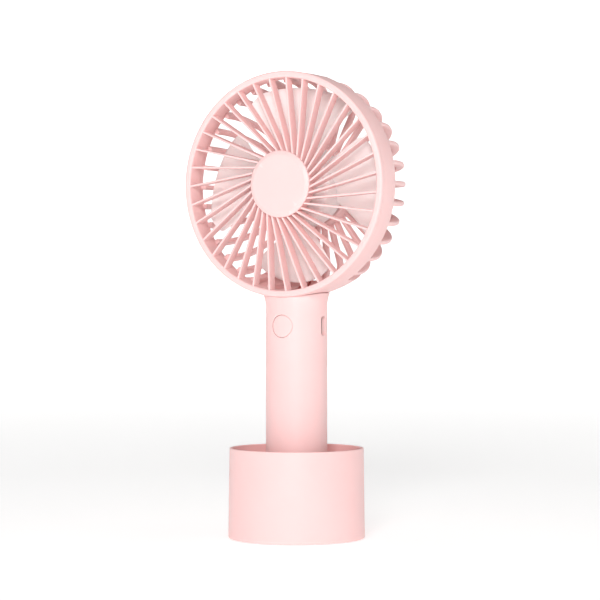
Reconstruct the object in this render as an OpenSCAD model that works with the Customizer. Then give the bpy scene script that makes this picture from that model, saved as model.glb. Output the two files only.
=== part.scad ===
// Handheld electric fan standing in its cup-shaped stand.
// +Z is up, the fan blows towards -Y, and the origin is the centre of the stand's underside.

/* [Head] */
// Outer radius of the fan head
head_r = 51; // [48:0.5:54]
// Height of the fan's axis above the table
axis_z = 161; // [158:0.5:166]
// Distance from the handle's axis forward to the head's front plane
front_y = 14.5; // [14.2:0.1:15]
// Depth of the whole head, front plane to flat back
head_depth = 40; // [39:0.5:44]
// Width of the front ring's face
ring_w = 3; // [2.6:0.2:4]
// Depth behind the front plane where the smooth band ends and the slots start
band_depth = 13.6; // [12:0.2:15]
// Wall of the head's band
band_wall = 1.8; // [1.4:0.2:2.2]

/* [Grilles] */
// Number of straight ribs in the front grille
rib_count = 35; // [25:1:41]
// Distance by which each rib's line misses the fan's axis
rib_offset = 7.4; // [4:0.2:9]
// Thickness of a front rib
rib_t = 0.9; // [0.7:0.1:1.2]
// Depth of a front rib along the fan's axis
rib_depth = 5.4; // [4:0.2:6]
// Radius of the blank disc at the front's centre
badge_r = 15.1; // [13:0.1:16]
// How far the middle of the front grille stands proud of the ring
grille_crown = 1.2; // [0:0.1:2]
// Number of radial fins in the rear guard
fin_count = 34; // [24:1:40]
// Thickness of a rear fin
fin_t = 2.4; // [1.6:0.1:2.8]
// Depth of a rear fin, from its outer edge inwards
fin_depth = 4; // [3:0.2:5]

/* [Impeller] */
// Number of blades
blade_count = 4; // [3:1:6]
// Radius of the blade tips
blade_r = 44.5; // [42:0.5:45.5]
// Angle that one blade covers at its tip
blade_sweep = 70; // [50:1:74]
// Depth along the axis that one blade covers at its tip
blade_rise = 13.5; // [10:0.5:14]
// Thickness of a blade
blade_t = 1.3; // [1:0.1:1.6]
// Radius of the impeller's hub
hub_r = 19; // [17:0.5:20]

/* [Handle] */
// Outer radius of the handle
handle_r = 14; // [13.6:0.2:14.4]
// Wall of the handle shells
handle_wall = 1.8; // [1.6:0.1:2]
// Height of the handle's lower end above the table, in its stand
handle_z = 8; // [7.5:0.5:9]
// Height of the power button's centre, and of the charging port's
button_z = 97; // [96:0.5:98]
// Radius of the button's hole
button_hole_r = 5.25; // [5:0.05:5.8]
// Travel of the power button
button_travel = 0.6; // [0.4:0.1:0.8]
// Height of the charging port's mouth
port_h = 8.8; // [8:0.1:9]
// Width of the charging port's mouth
port_w = 3.5; // [3:0.1:3.6]

/* [Stand] */
// Radius of the stand just above its bottom edge
stand_r = 31.2; // [30:0.2:33]
// Radius of the stand at its rim
stand_rim_r = 30.6; // [29.8:0.2:32]
// Height of the stand
stand_h = 41.5; // [38:0.5:44]
// Wall of the stand's rim
rim_wall = 1.3; // [1:0.1:1.8]
// Depth of the recess round the handle
recess_depth = 11; // [8:0.5:13]

/* [Hidden] */

$fn = 96;
eps = 0.01;
slip = 0.3;                       // gap between parts that slide past each other
seam_turn = 15;                   // keeps the seam line of round parts clear of fins and arms

pink = [0.98, 0.82, 0.81];
pale = [0.93, 0.88, 0.86];
steel = [0.7, 0.7, 0.72];

// Head: radii and depths behind the front plane
ring_in_r = head_r - ring_w;      // inside of the front ring's face
seam_depth = 3;                   // where the grille's ring meets the guard's band
spigot_depth = 8.5;               // how far the grille's spigot reaches into the band
band_in_r = head_r - band_wall;   // inside of the guard's band
curve_r = 35;                     // radius where the guard's curved side turns into its flat back
curve_depth = 15;                 // depth of the curve's centre
curve_a = head_r - curve_r;       // radial half-axis of the curve
curve_b = head_depth - curve_depth;
grille_seat_r = 14.4;             // solid middle of the grille, behind the badge
saddle_half = 31.7;               // half the angle of the guard's closed sector above the handle
saddle_last = 7;                  // step of the guard's curve where that sector ends
badge_t = 1.6;
badge_front = -grille_crown - 1;  // depth of the badge's face, in front of the front plane
badge_back = badge_front + badge_t;
bush_tube_wall = 1.2;             // wall of the tube that holds the motor's bushes
core_gap = 0.03;                  // gap between that tube and the stator's core

// Motor, as depths behind the front plane
hub_front = 9.5;
hub_back = 25;
can_front = 11.5;
can_r = 15.2;
can_wall = 0.8;
magnet_t = 1.8;
magnet_front = 13.2;
magnet_back = 24.2;
stator_r = 12.2;
stator_front = 14.5;
stator_back = 23;
shaft_r = 1;
shaft_front = 10.6;
shaft_back = 31.2;
bush_clear = 0.04;
bush_r = 2.6;
base_front = 27;
base_t = 2;
base_r = 15.5;
seat_front = base_front + base_t; // front face of the guard's motor seat
seat_t = 2;
pocket_r = 17;                    // inside of the pocket in the guard's back
pocket_wall = 1.6;
cap_t = 2.4;                      // thickness of the cap that closes the pocket
screw_ring_r = 12;                // circle of the motor's screws
screw_r = 1;

// Handle
handle_in_r = handle_r - handle_wall;
end_cap_t = 2.5;
shell_z = handle_z + end_cap_t;   // lower end of both handle shells
split_y = -2;                     // plane where the two shells meet
neck_flare = 1.2;                 // how far the handle flares out under the head
neck_flare_h = 6;
flare_z = axis_z - head_r - 5;    // height where that flare starts
flare_y = 11;                     // how far forward it reaches, short of the front ring
cell_r = 9.1;
cell_z = shell_z + 2.4;
cell_h = 65;
boss_r = 2.6;
lower_screw_z = cell_z + cell_h + 3.6;
upper_screw_z = button_z + 9.3;
board_w = 19;
board_t = 1;
board_y = -1.3;                   // rear face of the circuit board
board_z0 = button_z - 12;
board_z1 = button_z + 6;
switch_h = 3.5;
switch_w = 6;
plunger_r = 1.75;
button_r = button_hole_r - slip;
flange_r = 6.2;
flange_y = -9.7;                  // front face of the button's flange
guide_y = -10.1;                  // rear face of the guide ring round the button's hole

// Stand
stand_lift = 0.5;                 // gap under the stand's shell
stand_wall = 2.2;
bottom_bevel = 0.8;
recess_z = stand_h - recess_depth;
socket_wall = 1.7;
socket_in_r = handle_r + slip;
socket_r = socket_in_r + socket_wall;
socket_t = 1.8;
plate_z = 1;
plate_t = 2.2;
plate_r = stand_r - stand_wall - 0.2;
stand_boss_ring = 23;
stand_boss_r = 3;
weight_z0 = plate_z + plate_t + 0.3;
weight_z1 = 22;

// Moves a shape drawn along +Z from the front plane back into the head: depth runs along +Y.
module in_head(depth = 0) {
    translate([0, depth - front_y, axis_z]) rotate([-90, 0, 0]) children();
}

// A ring or disc in the head, from one depth to another
module head_ring(outer, inner, from, to) {
    in_head(from) rotate([0, 0, seam_turn]) difference() {
        cylinder(r = outer, h = to - from);
        if (inner > 0) translate([0, 0, -1]) cylinder(r = inner, h = to - from + 2);
    }
}

// Repeats its children round the fan's axis
module round_axis(count, phase = 0) {
    for (i = [0 : count - 1])
        translate([0, 0, axis_z]) rotate([0, phase + i * 360 / count, 0]) translate([0, 0, -axis_z])
            children();
}

// Outline of the rear guard's outer surface, as [radius, depth]
function guard_curve(a, b, steps = 12) =
    [for (i = [0 : steps]) [curve_r + a * cos(90 * i / steps), curve_depth + b * sin(90 * i / steps)]];

// The solid of revolution that the whole head fills, grown by a gap all round
module head_envelope(gap) {
    in_head() rotate_extrude()
        polygon(concat([[0, -gap], [head_r + gap, -gap]],
            guard_curve(curve_a + gap, curve_b + gap), [[0, head_depth + gap]]));
}

// One radial fin of the rear guard, standing at 12 o'clock
module rear_fin() {
    translate([-fin_t / 2, 0, 0]) rotate([90, 0, 90]) linear_extrude(fin_t)
        polygon([for (p = concat([[head_r - fin_depth * 0.85, band_depth], [head_r - 0.1, band_depth]],
            guard_curve(curve_a, curve_b),
            [[pocket_r + 0.4, head_depth - 0.3], [pocket_r + 0.4, head_depth - fin_depth]],
            [for (i = [12 : -1 : 0]) guard_curve(curve_a - fin_depth * 0.85, curve_b - fin_depth)[i]]))
            [p[1] - front_y, axis_z + p[0]]]);
}

// The smooth closed sector of the guard's shell above the handle, a little below the fins' edges
module neck_saddle() {
    sink = 0.2;
    outer = guard_curve(curve_a - sink, curve_b - sink);
    inner = guard_curve(curve_a - band_wall, curve_b - band_wall);
    in_head() rotate([0, 0, 90 - saddle_half]) rotate_extrude(angle = 2 * saddle_half)
        polygon(concat([[band_in_r + 0.2, band_depth - 1], [head_r - sink, band_depth - 1]],
            [for (i = [0 : saddle_last]) outer[i]], [for (i = [saddle_last : -1 : 0]) inner[i]]));
}

// The space round that sector, where the fins are left out
module saddle_space() {
    outer = guard_curve(curve_a + 3, curve_b + 3)[saddle_last];
    inner = guard_curve(curve_a - 10, curve_b - 10)[saddle_last];
    in_head() rotate([0, 0, 90 - saddle_half]) rotate_extrude(angle = 2 * saddle_half)
        polygon([[inner[0], band_depth - 1], [head_r + 5, band_depth - 1],
            [head_r + 5, outer[1]], outer, inner]);
}

// Rounded ring with a spigot that plugs into the rear guard's band
module grille_ring() {
    round_r = 1.1;
    spigot_r = band_in_r - 0.05;
    color(pink) in_head() rotate_extrude() polygon(concat(
        [[ring_in_r, spigot_depth], [ring_in_r, 0.5], [ring_in_r + 0.5, 0]],
        [for (i = [0 : 6]) [head_r - round_r + round_r * sin(15 * i), round_r - round_r * cos(15 * i)]],
        [[head_r, seam_depth], [spigot_r, seam_depth], [spigot_r, spigot_depth]]));
}

// Straight ribs, each missing the axis by the same distance
module grille_ribs() {
    color(pink) intersection() {
        for (i = [0 : rib_count - 1])
            translate([0, 0, axis_z])
                rotate([0, -180 - asin(rib_offset / ring_in_r) - i * 360 / rib_count, 0])
                translate([0, -front_y, -rib_offset - rib_t / 2]) linear_extrude(rib_t)
                polygon([[12, -grille_crown + 0.65], [ring_in_r + 0.2, 0.4],
                    [ring_in_r + 0.2, rib_depth], [12, rib_depth - 0.6]]);
        head_ring(ring_in_r, grille_seat_r, -3, rib_depth + 1);
    }
}

// Solid middle that carries the ribs and the badge
module grille_hub() {
    color(pink) head_ring(grille_seat_r, 0, badge_back, rib_depth);
}

module grille_badge() {
    color(pink) in_head() rotate_extrude() polygon([[0, badge_front], [badge_r - 1.6, badge_front],
        [badge_r - 0.3, badge_front + 0.5], [badge_r, badge_front + 1], [badge_r, badge_back], [0, badge_back]]);
}

// Band of the rear guard with the sector above the handle
module guard_band() {
    color(pink) difference() {
        union() {
            head_ring(head_r, band_in_r, seam_depth, band_depth);
            neck_saddle();
        }
        // way for the motor's leads into the handle
        translate([0, 3, axis_z - head_r - 2]) cylinder(r = 3, h = 12, $fn = 48);
    }
}

// Fins that run from the band round to the pocket in the back
module guard_fins() {
    color(pink) difference() {
        round_axis(fin_count, 180 / fin_count) rear_fin();
        head_ring(pocket_r + pocket_wall, 0, 0, head_depth + 1);
        saddle_space();
    }
}

// Pocket in the guard's back, with the motor's seat
module motor_pocket() {
    color(pink) difference() {
        union() {
            head_ring(pocket_r + pocket_wall, pocket_r, seat_front, head_depth);
            head_ring(pocket_r + 0.5, 0, seat_front, seat_front + seat_t);
            head_ring(pocket_r + 0.5, pocket_r - 1, head_depth - cap_t - 1, head_depth - cap_t);
        }
        // motor screws and the shaft's end
        for (a = [30, 150, 270])
            in_head(seat_front - 1) rotate([0, 0, a]) translate([screw_ring_r, 0, 0])
                cylinder(r = screw_r + 0.15, h = seat_t + 2, $fn = 32);
        in_head(seat_front - 1) cylinder(r = 3.4, h = seat_t + 2, $fn = 48);
    }
}

module rear_cap() {
    crown = 0.8;
    cap_r = pocket_r - 0.15;
    color(pink) in_head() rotate_extrude() polygon([[0, head_depth - cap_t], [cap_r, head_depth - cap_t],
        [cap_r, head_depth - crown], [cap_r - 0.85, head_depth - 0.2], [0, head_depth]]);
}

// Tube of the handle with its slightly flared neck, before it is split into two shells
module handle_tube() {
    flare_r = handle_r + neck_flare;
    tube_top = axis_z - 30;
    difference() {
        union() {
            translate([0, 0, shell_z]) cylinder(r = handle_r, h = tube_top - shell_z);
            intersection() {
                rotate_extrude() polygon([[0, flare_z - 2], [handle_r - 0.3, flare_z - 2],
                    [flare_r, flare_z + neck_flare_h], [flare_r, tube_top - 1], [0, tube_top - 1]]);
                translate([-head_r, -flare_y, 0]) cube([2 * head_r, 2 * head_r, axis_z]);
            }
        }
        head_envelope(0.05);
    }
}

// A support web that centres the battery, on one side of the handle
module cell_web(side, z) {
    intersection() {
        translate([0, 0, z]) difference() {
            cylinder(r = handle_in_r + 0.2, h = 1.4);
            translate([0, 0, -1]) cylinder(r = cell_r + 0.15, h = 4);
        }
        translate([-6.5, side > 0 ? 1 : -handle_r, z - 1]) cube([13, handle_r - 1, 4]);
    }
}

// One half of the handle: side is -1 for the front shell and 1 for the rear one
module handle_half(side) {
    difference() {
        union() {
            difference() {
                handle_tube();
                translate([0, 0, shell_z - 1]) cylinder(r = handle_in_r, h = axis_z);
                translate([-head_r, side > 0 ? split_y - head_r : split_y, 0])
                    cube([2 * head_r, head_r, axis_z]);
            }
            for (z = [cell_z + 8, cell_z + cell_h - 8]) cell_web(side, z);
        }
        // charging port's mouth, a notch in the rear shell's edge
        if (side > 0)
            translate([handle_in_r - 1, split_y - 1, button_z - port_h / 2])
                cube([handle_wall + 3, port_w / 2 - split_y + 1, port_h]);
    }
}

// Boss for a handle screw, from y0 to y1
module screw_boss(z, y0, y1, r) {
    translate([0, y0, z]) rotate([-90, 0, 0]) cylinder(r = r, h = y1 - y0, $fn = 48);
}

module handle_front_shell() {
    color(pink) difference() {
        union() {
            handle_half(-1);
            // guide ring round the power button
            intersection() {
                screw_boss(button_z, -handle_r, guide_y, button_hole_r + 1.6);
                translate([0, 0, shell_z]) cylinder(r = handle_r - 0.5, h = 120);
            }
            for (z = [lower_screw_z, upper_screw_z])
                intersection() {
                    screw_boss(z, -handle_r, -0.2, boss_r);
                    translate([0, 0, shell_z]) cylinder(r = handle_r - 0.5, h = 120);
                }
        }
        screw_boss(button_z, -handle_r - 1, guide_y + 1, button_hole_r);
        for (z = [lower_screw_z, upper_screw_z]) screw_boss(z, -8, 1, screw_r);
    }
}

module handle_rear_shell() {
    color(pink) difference() {
        union() {
            handle_half(1);
            for (z = [lower_screw_z, upper_screw_z])
                intersection() {
                    screw_boss(z, 0.2, handle_r, boss_r + 0.6);
                    translate([0, 0, shell_z]) cylinder(r = handle_r - 0.5, h = 120);
                }
        }
        for (z = [lower_screw_z, upper_screw_z]) {
            screw_boss(z, -1, handle_r + 1, screw_r + 0.15);
            screw_boss(z, 9, handle_r + 4, 2.1);
        }
    }
}

module handle_end_cap() {
    color(pink) {
        translate([0, 0, handle_z]) cylinder(r1 = handle_r - 1, r2 = handle_r, h = 1);
        translate([0, 0, handle_z + 1]) cylinder(r = handle_r, h = end_cap_t - 1);
        translate([0, 0, shell_z - eps]) difference() {
            cylinder(r = handle_in_r - 0.05, h = 2 + eps);
            translate([0, 0, 0.2]) cylinder(r = handle_in_r - 1.4, h = 3);
        }
    }
}

module pan_screw(length, head) {
    cylinder(r = screw_r, h = length, $fn = 32);
    translate([0, 0, -head]) difference() {
        cylinder(r = 1.9, h = head, $fn = 32);
        for (a = [0, 90]) rotate([0, 0, a]) translate([-1.2, -0.2, -1]) cube([2.4, 0.4, 1.6]);
    }
}

module handle_screws() {
    color(steel) for (z = [lower_screw_z, upper_screw_z])
        translate([0, 9, z]) rotate([90, 0, 0]) pan_screw(16, 1.4);
}

module battery_cell() {
    color("seagreen") {
        translate([0, 0, cell_z]) cylinder(r = cell_r, h = cell_h - 1);
        translate([0, 0, cell_z + cell_h - 1 - eps]) cylinder(r = 3.2, h = 1 + eps, $fn = 48);
    }
}

module battery_tabs() {
    color(steel) {
        translate([-9, -2, cell_z + cell_h]) cube([12, 4, 0.3]);
        translate([-11, -2, cell_z - 0.3]) cube([14, 4, 0.3]);
    }
}

module battery_leads() {
    lead_r = 0.6;
    color("firebrick") {
        translate([-7, 0.4, cell_z + cell_h + 0.3])
            cylinder(r = lead_r, h = board_z0 + 3 - cell_z - cell_h - 0.3, $fn = 24);
        translate([-10.6, 0.4, cell_z]) cylinder(r = lead_r, h = board_z0 + 3 - cell_z, $fn = 24);
    }
}

module circuit_board() {
    color("darkgreen") difference() {
        translate([-board_w / 2 - 1.5, board_y - board_t, board_z0])
            cube([board_w + 3, board_t, board_z1 - board_z0]);
        // notch that clears the upper screw boss
        translate([0, 0, upper_screw_z]) rotate([90, 0, 0]) cylinder(r = boss_r + 1, h = 10, center = true);
    }
}

module charging_socket() {
    wall = 0.35;
    h = port_h - 1;
    w = -2 * board_y;
    color(steel) translate([handle_in_r - 5.4, board_y, button_z - h / 2]) difference() {
        cube([5.6, w, h]);
        translate([1, wall, wall]) cube([5.6, w - 2 * wall, h - 2 * wall]);
    }
    // contact tongue
    color("black") translate([handle_in_r - 5, -0.35, button_z - h / 2 + 1.2]) cube([4.2, 0.7, h - 2.4]);
}

module switch_body() {
    y0 = board_y - board_t;
    color("dimgray") difference() {
        translate([-switch_w / 2, y0 - switch_h, button_z - switch_w / 2])
            cube([switch_w, switch_h, switch_w]);
        screw_boss(button_z, y0 - switch_h - 1, y0 - 1, plunger_r + 0.05);
    }
}

module switch_plunger() {
    y0 = board_y - board_t;
    color("black") screw_boss(button_z, y0 - switch_h - 0.9, y0 - 1 - button_travel - 0.1, plunger_r);
}

module power_button() {
    stem_end = board_y - board_t - switch_h - 0.9;
    color(pink) {
        intersection() {
            screw_boss(button_z, -handle_r, flange_y + eps, button_r);
            cylinder(r = handle_r - 0.1, h = 120);
        }
        screw_boss(button_z, flange_y, flange_y + 1, flange_r);
        screw_boss(button_z, flange_y + 1 - eps, stem_end, 2.2);
    }
}

module motor_base() {
    color("slategray") difference() {
        union() {
            head_ring(base_r, 0, base_front, base_front + base_t);
            head_ring(bush_r + bush_tube_wall, 0, stator_front - 1, base_front + base_t);
        }
        in_head(stator_front - 2) cylinder(r = bush_r, h = 20, $fn = 64);
        for (a = [30, 150, 270])
            in_head(base_front - 1) rotate([0, 0, a]) translate([screw_ring_r, 0, 0])
                cylinder(r = screw_r, h = base_t + 2, $fn = 32);
    }
}

module shaft_bushes() {
    bush_h = 4;
    color("goldenrod") for (d = [stator_front - 0.8, base_front + base_t - bush_h])
        head_ring(bush_r, shaft_r + bush_clear, d, d + bush_h);
}

// Laminated stator: a hollow core with nine arms that end in curved shoes
module stator_core() {
    core_r = 5.6;
    arms = 9;
    shoe_t = 1.4;
    shoe_w = 6.2;
    color("silver") in_head(stator_front) linear_extrude(height = stator_back - stator_front) {
        rotate(20) difference() {
            circle(r = core_r);
            circle(r = bush_r + bush_tube_wall + core_gap);
        }
        for (i = [0 : arms - 1]) rotate(i * 360 / arms) {
            translate([core_r - 0.5, -0.8]) square([stator_r - core_r - 0.3, 1.6]);
            intersection() {
                rotate(180) difference() {
                    circle(r = stator_r);
                    circle(r = stator_r - shoe_t);
                }
                translate([core_r, -shoe_w / 2]) square([stator_r, shoe_w]);
            }
        }
    }
}

// A copper winding round each arm of the stator
module stator_coils() {
    arms = 9;
    coil_w = 3;
    coil_l = 3.4;
    over = 0.7;
    h = stator_back - stator_front;
    color("peru") for (i = [0 : arms - 1])
        in_head(stator_front) rotate([0, 0, i * 360 / arms]) translate([7, 0, 0]) difference() {
            translate([0, -coil_w / 2, -over]) cube([coil_l, coil_w, h + 2 * over]);
            translate([-1, -0.8, 0]) cube([coil_l + 2, 1.6, h]);
        }
}

module motor_screws() {
    color(steel) for (a = [30, 150, 270])
        in_head(seat_front + seat_t) rotate([0, 0, a]) translate([screw_ring_r, 0, 0])
            rotate([180, 0, 0]) pan_screw(seat_t + base_t - 0.2, 1.2);
}

// A wire with eight flats through a list of points, mitred at each bend
module wire(points, r) {
    sides = 8;
    last = len(points) - 1;
    rings = [for (i = [0 : last])
        let (t = points[min(i + 1, last)] - points[max(i - 1, 0)], u = t / norm(t),
            p = cross(u, [1, 0.2, 0.1]), m = p / norm(p), n = cross(u, m))
        for (k = [0 : sides - 1]) points[i] + r * (cos(k * 360 / sides) * m + sin(k * 360 / sides) * n)];
    sleeve = [for (i = [0 : last - 1], k = [0 : sides - 1], h = [0, 1])
        let (q = (k + 1) % sides, c = i * sides)
        h == 0 ? [c + k, c + sides + q, c + q] : [c + k, c + sides + k, c + sides + q]];
    ends = [[for (k = [0 : sides - 1]) k], [for (k = [sides - 1 : -1 : 0]) last * sides + k]];
    polyhedron(points = rings, faces = concat(sleeve, ends));
}

module motor_leads() {
    lead_r = 0.55;
    lead_y = base_front - front_y - 0.8;
    color("firebrick") for (x = [-1.5, 1.5])
        wire([[x, lead_y, axis_z - 13.6], [x, lead_y, axis_z - 38], [x, 9.9, axis_z - 44.6],
            [x, 6, axis_z - 46.4], [x, 3.2, axis_z - 48.6], [x * 1.35, 3.1, axis_z - head_r - 0.2],
            [x * 3.2, 2.4, upper_screw_z + 1.7], [x * 3.6, 2, upper_screw_z - 1],
            [x * 3.6, 0, board_z1 - 3]], lead_r);
}

// Blade surface: u runs from the trailing edge (0) to the leading edge (1), v from root to tip.
// The corners at the tip are rounded by narrowing the blade near v = 1.
blade_root_r = hub_r - 1;
blade_mid_depth = 15.6;
function tip_narrowing(v) = v < 0.8 ? 1 : sqrt(1 - 0.55 * pow((v - 0.8) / 0.2, 3));
function blade_half(v) = blade_sweep / 2 * (0.74 + 0.26 * v) * tip_narrowing(v);
function blade_point(u, v, side) =
    let (r = blade_root_r + v * (blade_r - blade_root_r),
        a = -6 * v + 2 + (0.5 - u) * 2 * blade_half(v),
        d = blade_mid_depth - (0.5 - u) * blade_rise * (0.86 + 0.14 * v) + side * blade_t / 2)
    [r * cos(a), d - front_y, r * sin(a)];
blade_nu = 14;
blade_nv = 10;
blade_row = blade_nv + 1;
blade_grid = (blade_nu + 1) * blade_row;

module blade() {
    points = [for (s = [-1, 1], i = [0 : blade_nu], j = [0 : blade_nv])
        blade_point(i / blade_nu, j / blade_nv, s)];
    front = [for (i = [0 : blade_nu - 1], j = [0 : blade_nv - 1], k = [0, 1])
        let (p = i * blade_row + j)
        k == 0 ? [p, p + 1, p + blade_row + 1] : [p, p + blade_row + 1, p + blade_row]];
    back = [for (t = front) [t[0] + blade_grid, t[2] + blade_grid, t[1] + blade_grid]];
    // the outline, once round the blade's edge
    rim = concat([for (i = [0 : blade_nu - 1]) i * blade_row],
        [for (j = [0 : blade_nv - 1]) blade_nu * blade_row + j],
        [for (i = [blade_nu : -1 : 1]) i * blade_row + blade_nv],
        [for (j = [blade_nv : -1 : 1]) j]);
    edge = [for (k = [0 : len(rim) - 1], h = [0, 1])
        let (p = rim[k], q = rim[(k + 1) % len(rim)])
        h == 0 ? [p, q, q + blade_grid] : [p, q + blade_grid, p + blade_grid]];
    polyhedron(points = points, faces = concat(front, back, edge));
}

module impeller() {
    color(pale) {
        // cup-shaped hub that fits over the rotor
        in_head() rotate_extrude() polygon([[shaft_r, hub_front], [hub_r - 1.6, hub_front],
            [hub_r - 0.5, hub_front + 0.5], [hub_r, hub_front + 1.6], [hub_r, hub_back], [can_r, hub_back],
            [can_r, can_front], [shaft_r, can_front]]);
        for (i = [0 : blade_count - 1])
            translate([0, 0, axis_z]) rotate([0, i * 360 / blade_count, 0]) blade();
    }
}

module rotor_can() {
    color("lightgray") in_head() rotate_extrude() polygon([[shaft_r, can_front], [can_r, can_front],
        [can_r, hub_back], [can_r - can_wall, hub_back], [can_r - can_wall, can_front + can_wall],
        [shaft_r, can_front + can_wall]]);
}

module rotor_magnet() {
    outer = can_r - can_wall;
    color("darkslategray") head_ring(outer, outer - magnet_t, magnet_front, magnet_back);
}

module motor_shaft() {
    color(steel) head_ring(shaft_r, 0, shaft_front, shaft_back);
}

// Clip on the shaft's tail that keeps the rotor from sliding out of its bushes
module shaft_clip() {
    color("gold") head_ring(2.2, shaft_r, base_front + base_t + 0.3, base_front + base_t + 1);
}

module stand_shell() {
    bevel_low = 0.3 * bottom_bevel;
    color(pink) rotate_extrude() polygon([[stand_r - bottom_bevel, stand_lift],
        [stand_r - bevel_low, stand_lift + bevel_low], [stand_r, stand_lift + bottom_bevel],
        [stand_rim_r, stand_h - 0.5], [stand_rim_r - 0.4, stand_h],
        [stand_rim_r - rim_wall + 0.3, stand_h], [stand_rim_r - rim_wall, stand_h - 0.4],
        [stand_rim_r - rim_wall, recess_z], [stand_rim_r - rim_wall - 0.6, recess_z - 1],
        [stand_r - stand_wall, recess_z - 6], [stand_r - stand_wall, stand_lift]]);
}

// Socket that the handle stands in, with the floor of the recess round it and three screw posts
module stand_socket() {
    floor_r = stand_rim_r - rim_wall - 0.6;
    color(pink) difference() {
        union() {
            translate([0, 0, handle_z - socket_t]) cylinder(r = socket_r, h = recess_z - handle_z + socket_t);
            translate([0, 0, recess_z - socket_t]) cylinder(r = floor_r, h = socket_t);
            for (a = [90, 210, 330]) rotate([0, 0, a]) translate([stand_boss_ring, 0, plate_z + plate_t])
                cylinder(r = stand_boss_r, h = recess_z - socket_t - plate_z - plate_t + eps, $fn = 48);
        }
        translate([0, 0, handle_z]) cylinder(r = socket_in_r, h = stand_h);
        for (a = [90, 210, 330]) rotate([0, 0, a]) translate([stand_boss_ring, 0, 0])
            cylinder(r = screw_r, h = 12, $fn = 32);
    }
}

module stand_weight() {
    color("gray") difference() {
        translate([0, 0, weight_z0]) cylinder(r = 28.4, h = weight_z1 - weight_z0);
        translate([0, 0, weight_z0 - 1]) cylinder(r = socket_r + 0.4, h = weight_z1);
        for (a = [90, 210, 330]) rotate([0, 0, a]) translate([stand_boss_ring, 0, weight_z0 - 1])
            cylinder(r = stand_boss_r + 0.3, h = weight_z1, $fn = 48);
    }
}

module stand_base_plate() {
    color(pink) difference() {
        translate([0, 0, plate_z]) cylinder(r = plate_r, h = plate_t);
        for (a = [90, 210, 330]) rotate([0, 0, a]) translate([stand_boss_ring, 0, 0]) {
            cylinder(r = screw_r + 0.15, h = 6, $fn = 32);
            cylinder(r = 2.2, h = plate_z + 1.3, $fn = 32);
        }
    }
}

module foot_pad() {
    color("dimgray") difference() {
        cylinder(r = stand_boss_ring - 3, h = plate_z);
        translate([0, 0, -1]) cylinder(r = 12, h = 3);
    }
}

module stand_screws() {
    color(steel) for (a = [90, 210, 330]) rotate([0, 0, a])
        translate([stand_boss_ring, 0, plate_z + 1.3]) pan_screw(8, 1.2);
}

stand_shell();
stand_socket();
stand_weight();
stand_base_plate();
foot_pad();
stand_screws();
grille_ring();
grille_ribs();
grille_hub();
grille_badge();
guard_band();
guard_fins();
motor_pocket();
rear_cap();
handle_front_shell();
handle_rear_shell();
handle_end_cap();
handle_screws();
battery_cell();
battery_tabs();
battery_leads();
circuit_board();
charging_socket();
switch_body();
motor_base();
stator_core();
stator_coils();
shaft_bushes();
motor_screws();
motor_leads();
impeller();
rotor_can();
rotor_magnet();
motor_shaft();
shaft_clip();
power_button();
switch_plunger();
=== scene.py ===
"""Looks of the handheld electric fan: detailed meshes, materials, light and camera.

Everything is in metres in the frame's own axes: +Z up, the fan blows towards -Y.
Head pieces are drawn as (radius, depth): the radius from the fan's axis and the depth behind
the front plane of the ring.
"""
import math

import bmesh
import bpy
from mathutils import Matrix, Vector


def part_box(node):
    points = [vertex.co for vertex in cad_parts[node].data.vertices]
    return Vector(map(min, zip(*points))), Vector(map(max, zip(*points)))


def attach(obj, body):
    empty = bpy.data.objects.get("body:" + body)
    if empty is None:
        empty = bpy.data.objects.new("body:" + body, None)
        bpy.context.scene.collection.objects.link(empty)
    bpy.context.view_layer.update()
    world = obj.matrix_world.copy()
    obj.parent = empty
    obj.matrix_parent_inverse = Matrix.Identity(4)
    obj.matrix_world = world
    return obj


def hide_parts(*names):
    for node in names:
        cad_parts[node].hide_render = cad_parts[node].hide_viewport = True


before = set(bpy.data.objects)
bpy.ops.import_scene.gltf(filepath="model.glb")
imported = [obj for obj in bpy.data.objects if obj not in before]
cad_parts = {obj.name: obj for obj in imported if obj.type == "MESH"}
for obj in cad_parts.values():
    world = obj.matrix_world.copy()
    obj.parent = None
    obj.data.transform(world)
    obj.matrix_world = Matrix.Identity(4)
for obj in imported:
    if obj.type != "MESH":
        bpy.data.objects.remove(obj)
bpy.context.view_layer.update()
MM = 0.001

# ---------------------------------------------------------------- places from the frame
GUARD_LOW, GUARD_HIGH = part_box("guard_band")
FINS_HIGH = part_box("guard_fins")[1]
END_LOW, END_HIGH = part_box("handle_end_cap")
BUTTON_LOW, BUTTON_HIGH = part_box("power_button")
SOCKET_LOW, SOCKET_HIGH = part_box("charging_socket")
CUP_LOW, CUP_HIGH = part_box("stand_shell")
INSERT_LOW, INSERT_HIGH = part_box("stand_socket")
PLATE_LOW, PLATE_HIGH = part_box("stand_base_plate")
PAD_LOW, PAD_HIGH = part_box("foot_pad")

HEAD_R = GUARD_HIGH.x
AXIS_Z = GUARD_HIGH.z - HEAD_R
HEAD_DEPTH = 40 * MM
FRONT_Y = FINS_HIGH.y - HEAD_DEPTH
SEAM_DEPTH = GUARD_LOW.y - FRONT_Y
HANDLE_R = END_HIGH.x
SHELL_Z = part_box("handle_front_shell")[0].z
BUTTON_Z = (BUTTON_LOW.z + BUTTON_HIGH.z) / 2
CUP_R = CUP_HIGH.x

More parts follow.
